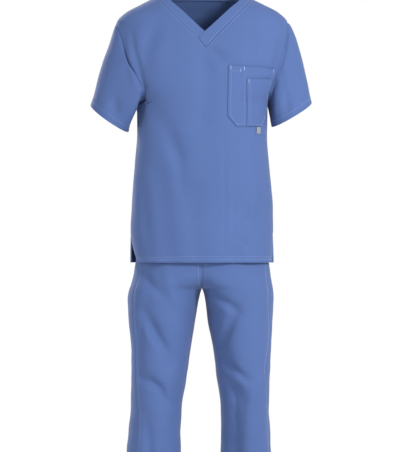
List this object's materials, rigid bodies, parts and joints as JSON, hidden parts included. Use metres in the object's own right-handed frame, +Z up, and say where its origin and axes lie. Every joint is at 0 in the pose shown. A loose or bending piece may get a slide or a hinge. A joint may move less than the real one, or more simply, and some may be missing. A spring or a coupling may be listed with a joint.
{
  "type": "medical scrubs, v-neck top and trousers",
  "caption": "Worn-form medical scrubs set: V-neck short-sleeved top with a chest pocket hanging over straight trousers, hollow and open at neck, cuffs and hems.",
  "frame": {"origin": "between the shoulders, at the height where the shoulder seams meet the neck: where the wearer's shoulders hold the top", "axes": "+Z up, along the body; the front faces -Y; +X is towards the wearer's left"},
  "size_m": [0.6, 0.2831, 1.6071],
  "materials": {
    "cloth": "matte fine twill, mid blue, soft drape",
    "tab": "pale grey woven tape, slight sheen",
    "thread": "sewing thread a little lighter than the cloth"
  },
  "bodies": {
    "root": {"top_front": "cloth", "top_back": "cloth", "sleeve_right": "cloth", "sleeve_left": "cloth", "neck_band_right": "cloth", "neck_band_left": "cloth", "neck_band_back": "cloth", "chest_pocket": "cloth", "phone_pocket": "cloth", "leg_front_right": "cloth", "leg_back_right": "cloth", "leg_front_left": "cloth", "leg_back_left": "cloth", "waistband": "cloth", "pocket_tab": "tab"}
  },
  "joints": []
}
